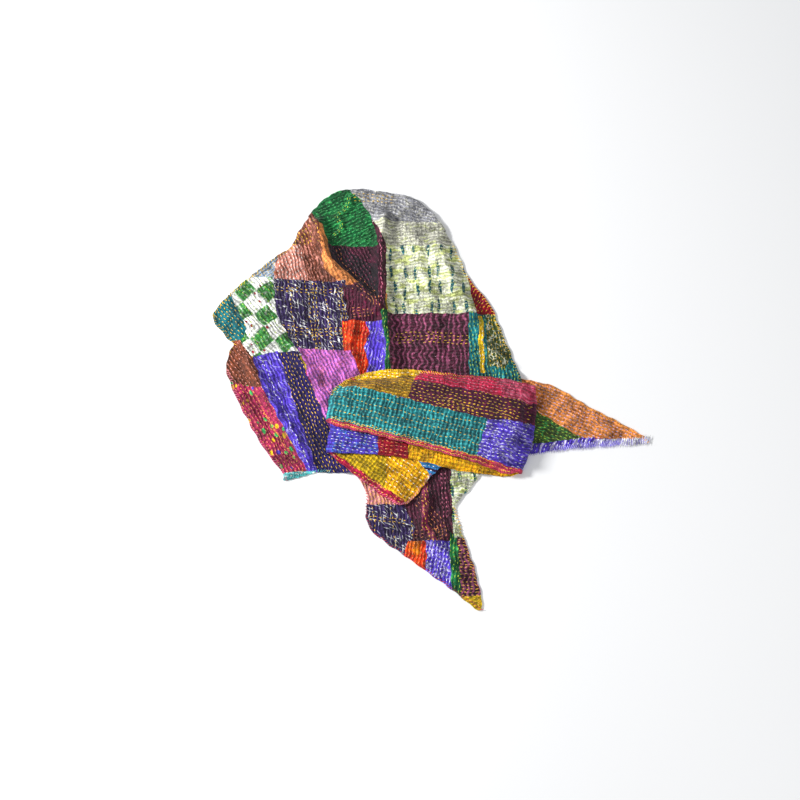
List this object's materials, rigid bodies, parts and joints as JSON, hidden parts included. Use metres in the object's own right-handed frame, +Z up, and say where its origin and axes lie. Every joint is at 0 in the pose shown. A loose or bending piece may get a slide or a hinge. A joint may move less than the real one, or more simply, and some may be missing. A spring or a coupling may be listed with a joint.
{
  "type": "quilted throw",
  "caption": "Patchwork quilted throw in bright pieced cloth with running stitch, lying folded on a surface with a bundled middle and a pointed tail.",
  "frame": {"origin": "centre of the throw's footprint, on the surface that it lies on", "axes": "+Z up from the surface, +X to the viewer's right, +Y away from the viewer towards the rounded top fold"},
  "size_m": [1.0906, 1.084, 0.0512],
  "materials": {
    "cloth": "matte quilted cotton and silk patches"
  },
  "bodies": {
    "root": {"quilted_throw": "cloth"}
  },
  "joints": []
}
